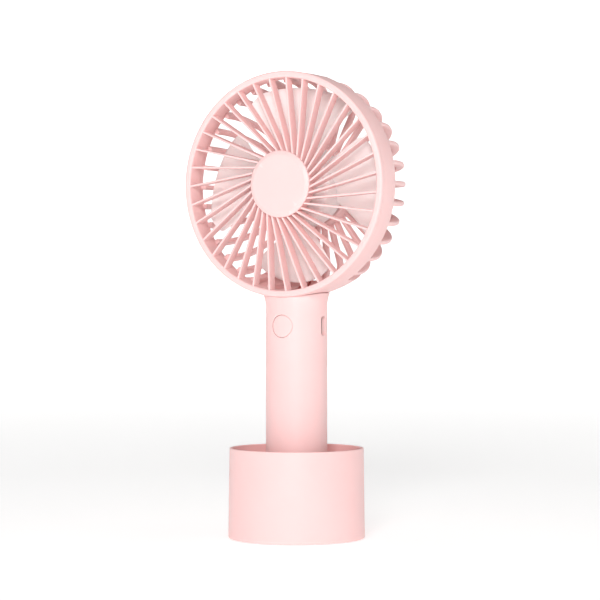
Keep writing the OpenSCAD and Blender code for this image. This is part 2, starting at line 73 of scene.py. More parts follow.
# ---------------------------------------------------------------- sizes that the CAD also holds
RING_W = 3.0 * MM
BAND_DEPTH = 13.6 * MM
BAND_WALL = 1.8 * MM
SPIGOT_DEPTH = 8.5 * MM
CURVE_R = 35 * MM                 # radius where the guard's side has turned into its back
CURVE_DEPTH = 15 * MM
RIB_COUNT = 35
RIB_OFFSET = 7.4 * MM
RIB_T = 0.9 * MM
RIB_DEPTH = 5.4 * MM
CROWN = 1.2 * MM
BADGE_R = 15.1 * MM
BADGE_T = 1.6 * MM
FIN_COUNT = 34
FIN_T = 2.4 * MM
FIN_DEPTH = 4 * MM
POCKET_R = 17 * MM
POCKET_WALL = 1.6 * MM
SADDLE_HALF = math.radians(31.7)
BLADE_COUNT = 4
HUB_R = 19 * MM
HUB_FRONT = 9.5 * MM
HUB_BACK = 25 * MM
CAN_R = 15.2 * MM
CAN_FRONT = 11.5 * MM
SHAFT_R = 1 * MM
BLADE_TIP = 44.4 * MM
BLADE_RISE = 13.5 * MM
BLADE_MID = 15.6 * MM
BLADE_T = 1.25 * MM
BLADE_SWEEP = math.radians(70)
HANDLE_WALL = 1.8 * MM
HANDLE_IN_R = HANDLE_R - HANDLE_WALL
SPLIT = math.asin(2 / 14)         # how far in front of the middle the two handle shells meet
NECK_FLARE = 1.2 * MM
NECK_FLARE_H = 7 * MM
SHELL_EDGE = 0.12 * MM            # rounding of the two shells' edges, which makes their seam
BUTTON_HOLE_R = 5.2 * MM
BUTTON_GAP = 0.16 * MM
FLANGE_R = 6.2 * MM               # flange that holds the button in, and its depth behind the face
FLANGE_DEPTH = 4.2 * MM
STEM_R = 2.2 * MM
SOCKET_SLIP = 0.3 * MM
PORT_H = 8.8 * MM
PORT_W = 3.5 * MM
BOSS_R = 2.6 * MM                 # bosses for the handle's screws, front shell; 0.6 mm more at the back
HEAD_HOLE_R = 2.1 * MM            # holes that take the screws' heads, and where they seat
HEAD_SEAT_Y = 9 * MM
RIM_WALL = 1.3 * MM
RIM_DROP_R = 0.6 * MM             # how much slimmer the cup is at its rim
RECESS_Z = 30.5 * MM
RECESS_FLOOR = 1.8 * MM
LIP_WALL = 1.7 * MM               # wall of the socket that takes the handle's foot
CUP_WALL = 2.2 * MM
POST_RING = 23 * MM               # circle of the stand's three screw posts
POST_R = 3 * MM
POST_ANGLES = (90, 210, 330)
SCREW_HOLE_R = 1.15 * MM
SCREW_HEAD_R = 1.9 * MM
PLATE_SEAT_R = 2.2 * MM           # seats for the screws' heads in the base plate
PLATE_SEAT_DEPTH = 1.3 * MM
PAD_IN_R = 12 * MM


# ---------------------------------------------------------------- mesh helpers
SMOOTH_UP_TO = math.radians(32)   # steeper edges are drawn sharp


def rounded(points, radii, steps=4):
    """A closed outline with its corners turned into short curves: one radius, or one per point."""
    if not hasattr(radii, "__len__"):
        radii = [radii] * len(points)
    out = []
    count = len(points)
    for i, radius in enumerate(radii):
        here = Vector(points[i])
        before = Vector(points[i - 1]) - here
        after = Vector(points[(i + 1) % count]) - here
        if radius <= 0:
            out.append(here)
            continue
        half = before.angle(after) / 2
        reach = min(radius / math.tan(half), before.length * 0.49, after.length * 0.49)
        start = here + before.normalized() * reach
        end = here + after.normalized() * reach
        for k in range(steps + 1):
            t = k / steps
            out.append(start * (1 - t) ** 2 + here * 2 * t * (1 - t) + end * t ** 2)
    return [(p[0], p[1]) for p in out]


def on_axis(radius, along, angle, axis):
    """A point at a radius and angle round the stand's axis, "z", or the fan's axis, "fan"."""
    c, s = math.cos(angle), math.sin(angle)
    if axis == "z":
        return Vector((radius * c, radius * s, along))
    return Vector((radius * c, FRONT_Y + along, AXIS_Z + radius * s))


def skin(bm, sections, closed=False):
    """Joins rings of points into a surface, and closes its two ends unless it runs round in a loop."""
    rings = [[bm.verts.new(p) for p in section] for section in sections]
    count = len(rings[0])
    pairs = list(zip(rings, rings[1:]))
    if closed:
        pairs.append((rings[-1], rings[0]))
    for a, b in pairs:
        for k in range(count):
            bm.faces.new((a[k], a[(k + 1) % count], b[(k + 1) % count], b[k]))
    if not closed:
        bm.faces.new(list(reversed(rings[0])))
        bm.faces.new(rings[-1])
    return rings


def lathe(bm, profile, axis="z", segments=160, start=0.0, sweep=None):
    """Turns a closed outline of (radius, along) round an axis, all the way or through an angle."""
    full = sweep is None
    turn = math.tau if full else sweep
    steps = segments if full else segments + 1
    sections = []
    for i in range(steps):
        angle = start + turn * i / segments
        sections.append([on_axis(max(r, 0.0), a, angle, axis) for r, a in profile])
    skin(bm, sections, closed=full)


def finish_bmesh(bm):
    """Merges doubles, turns the faces outwards and marks sharp edges."""
    bmesh.ops.remove_doubles(bm, verts=bm.verts, dist=2e-6)
    bmesh.ops.dissolve_degenerate(bm, edges=bm.edges, dist=1e-7)
    bmesh.ops.recalc_face_normals(bm, faces=bm.faces)
    for face in bm.faces:
        face.smooth = True
    for edge in bm.edges:
        if len(edge.link_faces) == 2 and edge.calc_face_angle() > SMOOTH_UP_TO:
            edge.smooth = False


def make_object(name, bm):
    """Turns a finished bmesh into an object of the scene."""
    finish_bmesh(bm)
    mesh = bpy.data.meshes.new(name)
    bm.to_mesh(mesh)
    bm.free()
    piece = bpy.data.objects.new(name, mesh)
    bpy.context.scene.collection.objects.link(piece)
    return piece


def place(piece, body, slot, material, *nodes):
    """Gives a piece its material and body, and lets it stand for its CAD nodes."""
    piece.data.materials.clear()
    piece.data.materials.append(material)
    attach(piece, body)
    if nodes:
        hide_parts(*nodes)
    return piece


def cut(piece, cutter_bm):
    """Takes a closed shape out of a piece for good."""
    bmesh.ops.recalc_face_normals(cutter_bm, faces=cutter_bm.faces)
    mesh = bpy.data.meshes.new("cutter")
    cutter_bm.to_mesh(mesh)
    cutter_bm.free()
    cutter = bpy.data.objects.new("cutter", mesh)
    bpy.context.scene.collection.objects.link(cutter)
    modifier = piece.modifiers.new("cut", "BOOLEAN")
    modifier.operation = "DIFFERENCE"
    modifier.solver = "EXACT"
    modifier.object = cutter
    bpy.context.view_layer.update()
    evaluated = piece.evaluated_get(bpy.context.evaluated_depsgraph_get())
    result = bpy.data.meshes.new_from_object(evaluated)
    piece.modifiers.clear()
    piece.data = result
    bpy.data.objects.remove(cutter)
    return piece


def soften(piece, width, sharp_deg=40, segments=2):
    """Rounds every sharp edge of a piece and marks its smoothing again."""
    bm = bmesh.new()
    bm.from_mesh(piece.data)
    bmesh.ops.remove_doubles(bm, verts=bm.verts, dist=1e-6)
    limit = math.radians(sharp_deg)
    edges = [e for e in bm.edges if len(e.link_faces) == 2 and e.calc_face_angle() > limit]
    bmesh.ops.bevel(bm, geom=edges, offset=width, segments=segments, affect="EDGES", profile=0.5,
                    clamp_overlap=True)
    finish_bmesh(bm)
    bm.to_mesh(piece.data)
    bm.free()
    return piece


def rod(bm, start, end, radius, sides=48):
    """A plain round bar between two points."""
    start, end = Vector(start), Vector(end)
    along = (end - start).normalized()
    side = along.orthogonal().normalized()
    up = along.cross(side)
    turns = [math.tau * k / sides for k in range(sides)]
    ring = [radius * (math.cos(a) * side + math.sin(a) * up) for a in turns]
    skin(bm, [[p + offset for offset in ring] for p in (start, end)])


def drill(piece, start, end, radius, sides=48):
    """Cuts a round hole between two points out of a piece."""
    hole = bmesh.new()
    rod(hole, start, end, radius, sides)
    cut(piece, hole)


# ---------------------------------------------------------------- materials
class Nodes:
    """Short names for building one material's node tree."""

    def __init__(self, name):
        self.material = bpy.data.materials.new(name)
        self.material.use_nodes = True
        self.tree = self.material.node_tree
        self.shader = self.tree.nodes["Principled BSDF"]

    def add(self, kind, **values):
        node = self.tree.nodes.new(kind)
        for key, value in values.items():
            if hasattr(node, key):
                setattr(node, key, value)
            else:
                node.inputs[key].default_value = value
        return node

    def link(self, source, target):
        self.tree.links.new(source, target)

    def noise(self, scale, detail=3.0, roughness=0.5):
        node = self.add("ShaderNodeTexNoise")
        node.inputs["Scale"].default_value = scale
        node.inputs["Detail"].default_value = detail
        node.inputs["Roughness"].default_value = roughness
        self.link(self.coords, node.inputs["Vector"])
        return node.outputs["Fac"]

    @property
    def coords(self):
        if not hasattr(self, "_coords"):
            self._coords = self.add("ShaderNodeTexCoord").outputs["Object"]
        return self._coords

    def ramp(self, source, low, high, out_low, out_high):
        node = self.add("ShaderNodeMapRange")
        node.inputs["From Min"].default_value = low
        node.inputs["From Max"].default_value = high
        node.inputs["To Min"].default_value = out_low
        node.inputs["To Max"].default_value = out_high
        self.link(source, node.inputs["Value"])
        return node.outputs["Result"]

    def mix(self, factor, a, b):
        node = self.add("ShaderNodeMix", data_type="RGBA")
        self.link(factor, node.inputs[0])
        for socket, value in ((node.inputs[6], a), (node.inputs[7], b)):
            if isinstance(value, tuple):
                socket.default_value = (*value, 1.0)
            else:
                self.link(value, socket)
        return node.outputs[2]

    def bump(self, height, distance, strength=1.0):
        node = self.add("ShaderNodeBump")
        node.inputs["Distance"].default_value = distance
        node.inputs["Strength"].default_value = strength
        self.link(height, node.inputs["Height"])
        self.link(node.outputs["Normal"], self.shader.inputs["Normal"])

    def set(self, **values):
        for key, value in values.items():
            self.shader.inputs[key.replace("_", " ")].default_value = value


def edge_light(n):
    """Near 1 on convex edges and 0 elsewhere, for the slight polish that handling gives."""
    geometry = n.add("ShaderNodeNewGeometry")
    return n.ramp(geometry.outputs["Pointiness"], 0.52, 0.60, 0.0, 1.0)


def moulded_plastic(name, colour, dark, light, roughness, scatter=0.0, grain=0.02 * MM):
    """Fine satin moulded plastic: cloudy tint, orange-peel bump, spark-eroded grain and worn edges."""
    n = Nodes(name)
    cloud = n.ramp(n.noise(38, 4), 0.3, 0.7, 0.0, 1.0)
    tint = n.mix(cloud, dark, colour)
    worn = n.mix(edge_light(n), tint, light)
    n.link(worn, n.shader.inputs["Base Color"])
    gloss = n.ramp(n.noise(240, 3), 0.3, 0.7, roughness - 0.05, roughness + 0.06)
    n.link(gloss, n.shader.inputs["Roughness"])
    fine = n.noise(5200, 2)
    peel = n.noise(420, 2)
    both = n.add("ShaderNodeMath", operation="MULTIPLY_ADD")
    n.link(peel, both.inputs[0])
    both.inputs[1].default_value = 0.6
    n.link(fine, both.inputs[2])
    n.bump(both.outputs[0], grain, 0.5)
    n.set(IOR=1.47, Specular_IOR_Level=0.45)
    if scatter:
        n.set(Subsurface_Weight=scatter, Subsurface_Radius=(1.0, 0.45, 0.4), Subsurface_Scale=1.6 * MM)
    return n.material


def brushed_metal(name, colour, roughness, stretch=(1, 1, 60)):
    """Metal with fine streaks, drawn out along the axis with the small scale."""
    n = Nodes(name)
    mapping = n.add("ShaderNodeMapping")
    mapping.inputs["Scale"].default_value = stretch
    n.link(n.coords, mapping.inputs["Vector"])
    streak = n.add("ShaderNodeTexNoise")
    streak.inputs["Scale"].default_value = 300
    streak.inputs["Detail"].default_value = 4
    n.link(mapping.outputs[0], streak.inputs["Vector"])
    shade = tuple(c * 0.78 for c in colour)
    n.link(n.mix(streak.outputs["Fac"], shade, colour), n.shader.inputs["Base Color"])
    n.link(n.ramp(n.noise(180), 0.3, 0.7, roughness - 0.07, roughness + 0.1), n.shader.inputs["Roughness"])
    n.bump(streak.outputs["Fac"], 0.01 * MM, 0.5)
    n.set(Metallic=1.0)
    return n.material


def rough_metal(name, colour, roughness):
    """Cast or sintered metal with a pitted skin."""
    n = Nodes(name)
    pits = n.noise(900, 6, 0.7)
    shade = tuple(c * 0.6 for c in colour)
    n.link(n.mix(n.ramp(pits, 0.35, 0.65, 0.0, 1.0), shade, colour), n.shader.inputs["Base Color"])
    n.link(n.ramp(n.noise(300), 0.3, 0.7, roughness - 0.08, roughness + 0.1), n.shader.inputs["Roughness"])
    n.bump(pits, 0.12 * MM, 0.7)
    n.set(Metallic=0.9)
    return n.material


def rubber(name, colour):
    """Dull rubber with an even grain."""
    n = Nodes(name)
    grain = n.noise(1800, 4)
    shade = tuple(c * 0.75 for c in colour)
    n.link(n.mix(grain, shade, colour), n.shader.inputs["Base Color"])
    n.link(n.ramp(grain, 0.3, 0.7, 0.62, 0.8), n.shader.inputs["Roughness"])
    n.bump(grain, 0.05 * MM, 0.6)
    return n.material


def board_laminate(name):
    """Green solder mask with the faint weave of the glass cloth and darker copper areas under it."""
    n = Nodes(name)
    weave = n.add("ShaderNodeTexWave", wave_type="BANDS")
    weave.inputs["Scale"].default_value = 900
    n.link(n.coords, weave.inputs["Vector"])
    patches = n.ramp(n.noise(260, 1), 0.48, 0.52, 0.0, 1.0)
    n.link(n.mix(patches, (0.012, 0.10, 0.035), (0.02, 0.16, 0.05)), n.shader.inputs["Base Color"])
    n.link(n.ramp(n.noise(300), 0.3, 0.7, 0.22, 0.34), n.shader.inputs["Roughness"])
    n.bump(weave.outputs["Fac"], 0.01 * MM, 0.4)
    return n.material


PINK = moulded_plastic("pink_plastic", (0.955, 0.636, 0.624), (0.943, 0.612, 0.60),
                       (0.968, 0.69, 0.68), 0.42, scatter=0.10)
# Darker pink that paints the recess's shade onto its inner wall and floor; the plastic itself is the same
# pink.
SHADE_PAINTED_PINK = moulded_plastic("pink_plastic_painted_shade", (0.88, 0.52, 0.51), (0.86, 0.50, 0.49),
                            (0.93, 0.6, 0.59), 0.46)
PALE = moulded_plastic("blade_plastic", (0.92, 0.86, 0.85), (0.895, 0.83, 0.82),
                       (0.94, 0.89, 0.88), 0.36, scatter=0.12)
BLACK = moulded_plastic("black_plastic", (0.028, 0.028, 0.030), (0.018, 0.018, 0.02),
                        (0.07, 0.07, 0.07), 0.45)
WRAP = moulded_plastic("cell_wrap", (0.03, 0.22, 0.11), (0.02, 0.18, 0.09), (0.06, 0.27, 0.15), 0.28)
SLEEVE = moulded_plastic("wire_sleeve", (0.46, 0.12, 0.10), (0.38, 0.09, 0.08), (0.54, 0.16, 0.14), 0.4)
STEEL = brushed_metal("screw_steel", (0.62, 0.62, 0.64), 0.3)
NICKEL = brushed_metal("nickel", (0.68, 0.65, 0.60), 0.26)
LAMINATION = brushed_metal("lamination_steel", (0.5, 0.5, 0.52), 0.38, (1, 90, 1))
COPPER = brushed_metal("copper", (0.68, 0.28, 0.12), 0.3, (1, 60, 1))
BRONZE = rough_metal("bronze", (0.55, 0.35, 0.14), 0.42)
IRON = rough_metal("ballast_iron", (0.12, 0.12, 0.125), 0.55)
MAGNET = rough_metal("magnet", (0.05, 0.05, 0.055), 0.6)
FOOT = rubber("foot_rubber", (0.42, 0.34, 0.33))
BOARD = board_laminate("board_green")


# ---------------------------------------------------------------- stand
def stand_posts():
    """Points on the table under the stand's three screw posts."""
    for degrees in POST_ANGLES:
        angle = math.radians(degrees)
        yield Vector((POST_RING * math.cos(angle), POST_RING * math.sin(angle), 0))


def stand_cup():
    """Thin-rimmed cup with a small round at its bottom edge, open below."""
    top = CUP_HIGH.z
    low = CUP_LOW.z
    inner = CUP_R - CUP_WALL
    rim = CUP_R - RIM_DROP_R
    outline = [(CUP_R - 0.02 * MM, low), (rim, top), (rim - RIM_WALL, top), (rim - RIM_WALL, RECESS_Z),
               (inner, RECESS_Z - 6 * MM), (inner, low)]
    radii = [0.8 * MM, 0.5 * MM, 0.45 * MM, 0.2 * MM, 0.2 * MM, 0.3 * MM]
    bm = bmesh.new()
    lathe(bm, rounded(outline, radii, 5), segments=224)
    return make_object("stand_cup", bm)


def stand_insert():
    """Floor of the recess with the socket's lip and its three hidden posts."""
    bottom = INSERT_LOW.z
    bore = HANDLE_R + SOCKET_SLIP
    wall = bore + LIP_WALL
    top = RECESS_Z
    under = top - RECESS_FLOOR
    outer = INSERT_HIGH.x
    floor = END_LOW.z
    outline = [(0, bottom), (wall, bottom), (wall, under), (outer, under), (outer, top), (bore, top),
               (bore, floor), (0, floor)]
    radii = [0, 0.5 * MM, 0.5 * MM, 0.3 * MM, 0.3 * MM, 0.4 * MM, 0.3 * MM, 0]
    bm = bmesh.new()
    lathe(bm, rounded(outline, radii, 4), segments=160)
    for spot in stand_posts():
        rod(bm, spot + Vector((0, 0, PLATE_HIGH.z)), spot + Vector((0, 0, under + 0.2 * MM)), POST_R)
    return make_object("stand_insert", bm)


def base_plate():
    """Base plate with three counterbored screw holes."""
    low, high = PLATE_LOW.z, PLATE_HIGH.z
    outer = PLATE_HIGH.x
    bm = bmesh.new()
    outline = [(0, low), (outer, low), (outer, high), (0, high)]
    lathe(bm, rounded(outline, [0, 0.4 * MM, 0.3 * MM, 0], 4), segments=160)
    piece = make_object("base_plate", bm)
    for spot in stand_posts():
        seat = spot + Vector((0, 0, low + PLATE_SEAT_DEPTH))
        drill(piece, spot + Vector((0, 0, low - 1 * MM)), seat, PLATE_SEAT_R)
        drill(piece, spot, spot + Vector((0, 0, high + 1 * MM)), SCREW_HOLE_R)
    return soften(piece, 0.12 * MM)


def foot_ring():
    """Soft ring foot with two shallow grooves in its underside."""
    low, high = PAD_LOW.z, PAD_HIGH.z
    inner, outer = PAD_IN_R, PAD_HIGH.x
    half_groove, groove_depth = 0.5 * MM, 0.35 * MM
    outline = [(inner, high), (inner, low)]
    for k in (1, 2):
        middle = inner + (outer - inner) * k / 3
        outline += [(middle - half_groove, low), (middle, low + groove_depth), (middle + half_groove, low)]
    outline += [(outer, low), (outer, high)]
    bm = bmesh.new()
    lathe(bm, rounded(outline, 0.2 * MM, 3), segments=128)
    return make_object("foot_ring", bm)


def shade_inside(piece):
    """Paints shade into the recess: the faces of the cup that look at its axis over the recess's floor get
    the darker pink of painted shade.
    """
    piece.data.materials.append(SHADE_PAINTED_PINK)
    for face in piece.data.polygons:
        outward = face.normal.x * face.center.x + face.normal.y * face.center.y
        if outward < 0 and face.center.z > RECESS_Z and face.center.z < CUP_HIGH.z - 0.6 * MM:
            face.material_index = 1


shade_inside(place(stand_cup(), "stand", "pink_plastic", PINK, "stand_shell"))
# The recess's floor and the socket's lip take the darker pink as painted shade.
place(stand_insert(), "stand", "pink_plastic", SHADE_PAINTED_PINK, "stand_socket")
place(base_plate(), "stand", "pink_plastic", PINK, "stand_base_plate")
place(foot_ring(), "stand", "foot_rubber", FOOT, "foot_pad")


# ---------------------------------------------------------------- head
def guard_point(t, sink=0.0):
    """Radius and depth on the guard's outer surface: t runs from 0 at the band to 1 at the back."""
    a = HEAD_R - CURVE_R - sink
    b = HEAD_DEPTH - CURVE_DEPTH - sink
    return CURVE_R + a * math.cos(t * math.pi / 2), CURVE_DEPTH + b * math.sin(t * math.pi / 2)


def front_grille():
    """Front ring with its spigot, the solid middle behind the disc, and the ribs between them."""
    bm = bmesh.new()
    inner = HEAD_R - RING_W
    spigot_r = HEAD_R - BAND_WALL - 0.05 * MM
    seam = SEAM_DEPTH - 0.06 * MM
    outline = [(inner, 0), (HEAD_R, 0), (HEAD_R, seam), (spigot_r, seam), (spigot_r, SPIGOT_DEPTH),
               (inner - 0.2 * MM, SPIGOT_DEPTH)]
    radii = [0.9 * MM, 1.25 * MM, 0.15 * MM, 0, 0.3 * MM, 0.5 * MM]
    lathe(bm, rounded(outline, radii, 6), "fan", 240)
    seat = BADGE_R - 0.5 * MM
    seat_front = BADGE_T - CROWN - 0.9 * MM
    outline = [(0, seat_front), (seat, seat_front), (seat, RIB_DEPTH), (0, RIB_DEPTH)]
    lathe(bm, rounded(outline, [0, 0.2 * MM, 0.8 * MM, 0], 4), "fan", 120)
    for i in range(RIB_COUNT):
        front_rib(bm, i)
    return make_object("front_grille_ribs", bm)


def front_rib(bm, index):
    """One straight rib: slim, deep, with a round front edge, rising a little towards the middle."""
    inner = HEAD_R - RING_W
    heading = math.pi + math.asin(RIB_OFFSET / inner) + math.tau * index / RIB_COUNT
    along = Vector((math.cos(heading), 0, math.sin(heading)))
    side = Vector((math.sin(heading), 0, -math.cos(heading)))
    centre = Vector((0, FRONT_Y, AXIS_Z))
    first, last, steps = 12 * MM, inner + 0.5 * MM, 8
    crest, fall, deepen = -CROWN + 0.7 * MM, CROWN - 0.3 * MM, 0.6 * MM
    half = RIB_T / 2
    foot = half * 1.15
    sections = []
    for k in range(steps + 1):
        t = k / steps
        reach = first + (last - first) * t
        front = crest + fall * t
        back = RIB_DEPTH - deepen * (1 - t)
        outline = rounded([(-half, front), (half, front), (foot, back), (-foot, back)],
                          [half * 0.9, half * 0.9, half * 0.6, half * 0.6], 3)
        middle = centre + along * reach + side * RIB_OFFSET
        sections.append([middle + side * x + Vector((0, y, 0)) for x, y in outline])
    skin(bm, sections)


def badge():
    """Blank disc with a bevelled rim and a face that is very slightly domed."""
    front = -CROWN - 1.0 * MM
    back = front + BADGE_T
    steps, face_share, dome = 8, 0.88, 0.12 * MM
    face = [(BADGE_R * k / steps * face_share, front + dome * (k / steps) ** 2) for k in range(steps + 1)]
    outline = face + [(BADGE_R - 0.25 * MM, front + 0.75 * MM), (BADGE_R, front + 1.1 * MM),
                      (BADGE_R, back), (0, back)]
    radii = [0] * steps + [0.7 * MM, 0.35 * MM, 0.25 * MM, 0.3 * MM, 0]
    bm = bmesh.new()
    lathe(bm, rounded(outline, radii, 4), "fan", 144)
    return make_object("grille_disc", bm)


def rear_guard():
    """Band, motor pocket with its seat, fins and the closed sector above the handle."""
    bm = bmesh.new()
    band_in = HEAD_R - BAND_WALL
    seam = SEAM_DEPTH + 0.04 * MM
    outline = [(band_in, seam), (HEAD_R, seam), (HEAD_R, BAND_DEPTH), (band_in, BAND_DEPTH)]
    lathe(bm, rounded(outline, [0.1 * MM, 0.15 * MM, 0.5 * MM, 0.4 * MM], 4), "fan", 240)
    outer = POCKET_R + POCKET_WALL
    hole_r = 3.4 * MM
    seat = HUB_BACK + 4 * MM
    seat_back = seat + 2 * MM
    outline = [(hole_r, seat), (outer, seat), (outer, HEAD_DEPTH), (POCKET_R, HEAD_DEPTH),
               (POCKET_R, seat_back), (hole_r, seat_back)]
    radii = [0.3 * MM, 0.8 * MM, 0.5 * MM, 0.3 * MM, 0.4 * MM, 0.3 * MM]
    lathe(bm, rounded(outline, radii, 4), "fan", 144)
    for i in range(FIN_COUNT):
        guard_fin(bm, math.tau * i / FIN_COUNT)
    saddle(bm)
    return make_object("rear_guard_fins", bm)


def guard_fin(bm, angle):
    """One fin: a round-edged bar that follows the guard's curve from the band to the motor pocket."""
    path = [(HEAD_R, BAND_DEPTH - 1.5 * MM, 1.0, 0.0)]
    steps = 18
    a = HEAD_R - CURVE_R
    b = HEAD_DEPTH - CURVE_DEPTH
    for k in range(steps + 1):
        t = k / steps
        r, d = guard_point(t)
        normal = Vector((math.cos(t * math.pi / 2) / a, math.sin(t * math.pi / 2) / b)).normalized()
        path.append((r, d, normal.x, normal.y))
    for r in (30 * MM, 24 * MM, POCKET_R + 0.8 * MM):
        path.append((r, HEAD_DEPTH, 0.0, 1.0))
    half = FIN_T / 2
    along = Vector((math.cos(angle), 0, math.sin(angle)))
    side = Vector((-math.sin(angle), 0, math.cos(angle)))
    centre = Vector((0, FRONT_Y, AXIS_Z))
    sections = []
    for r, d, nr, nd in path:
        slim = 1.0 - 0.25 * max(0.0, (CURVE_R - r) / CURVE_R)
        w = half * slim
        outline = rounded([(-w, 0), (w, 0), (w * 0.8, -FIN_DEPTH), (-w * 0.8, -FIN_DEPTH)],
                          [w * 0.92, w * 0.92, w * 0.5, w * 0.5], 4)
        ring = []
        for x, depth in outline:
            ring.append(centre + along * (r + nr * depth) + Vector((0, d + nd * depth, 0)) + side * x)
        sections.append(ring)
    skin(bm, sections)


def saddle(bm):
    """The closed sector of the guard above the handle."""
    last = 0.6
    steps = 12
    outer = [guard_point(last * k / steps, 0.02 * MM) for k in range(steps + 1)]
    inner = [guard_point(last * k / steps, BAND_WALL) for k in range(steps, -1, -1)]
    start = BAND_DEPTH - 1 * MM
    outline = [(HEAD_R - BAND_WALL, start), (HEAD_R - 0.02 * MM, start)] + outer + inner
    sweep = 2 * SADDLE_HALF
    lathe(bm, outline, "fan", 48, -math.pi / 2 - SADDLE_HALF, sweep)


def rear_cap():
    """Round cap in the guard's back, with a shallow dish and a rounded rim."""
    low = HEAD_DEPTH - 2.4 * MM
    rim = HEAD_DEPTH - 0.05 * MM
    edge = POCKET_R - 0.15 * MM
    rim_in, dish_r = edge - 2.2 * MM, edge - 2.8 * MM
    dish_edge, dish_middle = HEAD_DEPTH - 0.45 * MM, HEAD_DEPTH - 0.3 * MM
    outline = [(0, low), (edge, low), (edge, rim), (rim_in, rim), (dish_r, dish_edge), (0, dish_middle)]
    bm = bmesh.new()
    lathe(bm, rounded(outline, [0, 0.3 * MM, 0.6 * MM, 0.5 * MM, 0.4 * MM, 0], 4), "fan", 144)
    return make_object("rear_cap_disc", bm)


place(front_grille(), "fan", "pink_plastic", PINK, "grille_ring", "grille_ribs", "grille_hub")
place(badge(), "fan", "pink_plastic", PINK, "grille_badge")
place(rear_guard(), "fan", "pink_plastic", PINK, "guard_band", "guard_fins", "motor_pocket")
place(rear_cap(), "fan", "pink_plastic", PINK, "rear_cap")


# ---------------------------------------------------------------- handle
def head_bottom(x, y):
    """Height of the head's outer surface above a point, straight over the handle."""
    depth = y - FRONT_Y
    radius = HEAD_R
    if depth > CURVE_DEPTH:
        k = (depth - CURVE_DEPTH) / (HEAD_DEPTH - CURVE_DEPTH)
        radius = CURVE_R + (HEAD_R - CURVE_R) * math.sqrt(max(0.0, 1 - k * k))
    return AXIS_Z - math.sqrt(radius * radius - x * x)


def neck_radius(angle, below_top):
    """The handle's outer radius, with its small flare just under the head."""
    forward = -math.sin(angle) * HANDLE_R
    share = min(1.0, max(0.0, (12 * MM - forward) / (4 * MM)))
    rise = max(0.0, 1 - below_top / NECK_FLARE_H)
    return HANDLE_R + NECK_FLARE * share * share * (3 - 2 * share) * rise ** 2.2


def half_tube(name, side):
    """One half of the handle's tube, side -1 at the front and 1 at the back, fitted to the head."""
    columns, rows = 72, 56
    gap = 0.04 * MM
    outside, inside = [], []
    for i in range(columns + 1):
        share = i / columns
        if side < 0:
            angle = math.pi + SPLIT + share * (math.pi - 2 * SPLIT)
        else:
            angle = -SPLIT + share * (math.pi + 2 * SPLIT)
        c, s = math.cos(angle), math.sin(angle)
        top = head_bottom(HANDLE_R * c, HANDLE_R * s) - gap
        column_out, column_in = [], []
        for j in range(rows + 1):
            z = SHELL_Z + (top - SHELL_Z) * (1 - (1 - j / rows) ** 1.6)
            r = neck_radius(angle, top - z)
            column_out.append(Vector((r * c, r * s, z)))
            column_in.append(Vector((HANDLE_IN_R * c, HANDLE_IN_R * s, z)))
        outside.append(column_out)
        inside.append(column_in)
    bm = bmesh.new()
    skin(bm, [out + list(reversed(into)) for out, into in zip(outside, inside)])
    return make_object(name, bm)


def handle_front():
    """Front shell with the button's hole and two blind bosses."""
    piece = half_tube("handle_front", -1)
    drill(piece, (0, -HANDLE_R - 2 * MM, BUTTON_Z), (0, -HANDLE_IN_R + 5 * MM, BUTTON_Z), BUTTON_HOLE_R, 96)
    wall_y, end_y = -HANDLE_IN_R - 0.4 * MM, -0.2 * MM
    bore, bore_y = 1.0 * MM, -8 * MM
    add_bosses(piece, [(0, wall_y), (BOSS_R, wall_y), (BOSS_R, end_y), (bore, end_y),
                       (bore, bore_y), (0, bore_y)])
    return soften(piece, SHELL_EDGE, 45, 3)


def handle_back():
    """Rear shell with the port's notch in its edge and two counterbored bosses."""
    piece = half_tube("handle_back", 1)
    cut(piece, port_notch())
    for height in screw_heights():
        drill(piece, (0, HEAD_SEAT_Y, height), (0, HANDLE_R + 3 * MM, height), HEAD_HOLE_R)
    wall_y, end_y, outer = HANDLE_IN_R + 0.4 * MM, 0.2 * MM, BOSS_R + 0.6 * MM
    add_bosses(piece, [(SCREW_HOLE_R, end_y), (outer, end_y), (outer, wall_y), (HEAD_HOLE_R, wall_y),
                       (HEAD_HOLE_R, HEAD_SEAT_Y), (SCREW_HOLE_R, HEAD_SEAT_Y)])
    return soften(piece, SHELL_EDGE, 45, 3)


def port_notch():
    """Shape that is cut out of the rear shell's edge for the charging port."""
    near, far = -HANDLE_R * math.sin(SPLIT) - 0.1 * MM, PORT_W / 2
    low, high = -PORT_H / 2, PORT_H / 2
    outline = rounded([(near, low), (far, low), (far, high), (near, high)], 1.5 * MM, 6)
    bm = bmesh.new()
    ends = (HANDLE_IN_R - 2 * MM, HANDLE_R + 2 * MM)
    skin(bm, [[Vector((x, y, BUTTON_Z + z)) for y, z in outline] for x in ends])
    return bm


def screw_boss(bm, height, profile):
    """A boss for a handle screw: a closed outline of (radius, y), turned round the screw's axis."""
    before = set(bm.verts)
    lathe(bm, [(r, y - FRONT_Y) for r, y in profile], "fan", 48)
    added = [v for v in bm.verts if v not in before]
    bmesh.ops.translate(bm, verts=added, vec=(0, 0, height - AXIS_Z))


def add_bosses(piece, profile):
    """Adds a boss of one profile at each of the handle's two screws."""
    bm = bmesh.new()
    bm.from_mesh(piece.data)
    for height in screw_heights():
        screw_boss(bm, height, profile)
    finish_bmesh(bm)
    bm.to_mesh(piece.data)
    bm.free()


def screw_heights():
    """Heights of the two handle screws, a head's radius inside their box."""
    low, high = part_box("handle_screws")
    return low.z + SCREW_HEAD_R, high.z - SCREW_HEAD_R


